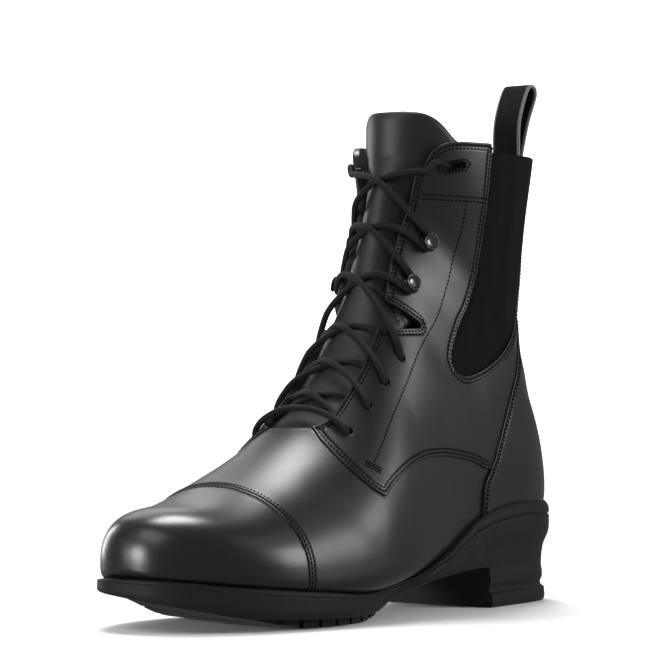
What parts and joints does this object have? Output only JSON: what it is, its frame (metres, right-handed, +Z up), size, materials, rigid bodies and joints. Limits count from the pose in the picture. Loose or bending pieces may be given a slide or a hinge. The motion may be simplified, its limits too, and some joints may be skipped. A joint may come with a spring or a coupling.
{
  "type": "paddock boot",
  "caption": "Black leather ankle-high riding boot with laced front, lace hooks, side elastic gores, back pull loop and low block heel; left foot.",
  "frame": {"origin": "on the floor, under the middle of the boot's bounding box", "axes": "+Z up, toe towards -Y and heel towards +Y, +X towards the outer (lateral) side of the left foot"},
  "size_m": [0.104, 0.3016, 0.2685],
  "materials": {
    "sole_rubber": "matte moulded rubber",
    "upper_leather": "polished smooth leather",
    "insole_board": "matte",
    "tongue_leather": "soft satin leather",
    "elastic": "ribbed elastic",
    "webbing": "woven webbing",
    "lace": "round woven cord",
    "hook_metal": "gloss black"
  },
  "bodies": {
    "root": {"outsole": "sole_rubber", "upper": "upper_leather", "insole": "insole_board", "tongue": "tongue_leather", "elastic_gore_lateral": "elastic", "elastic_gore_medial": "elastic", "pull_loop": "webbing", "lace_bar": "lace", "lace_crossing_1": "lace", "lace_crossing_2": "lace", "lace_crossing_3": "lace", "lace_crossing_4": "lace", "lace_crossing_5": "lace", "lace_crossing_6": "lace", "lace_hook_lateral_lower": "hook_metal", "lace_hook_lateral_upper": "hook_metal", "lace_hook_medial_lower": "hook_metal", "lace_hook_medial_upper": "hook_metal"}
  },
  "joints": []
}
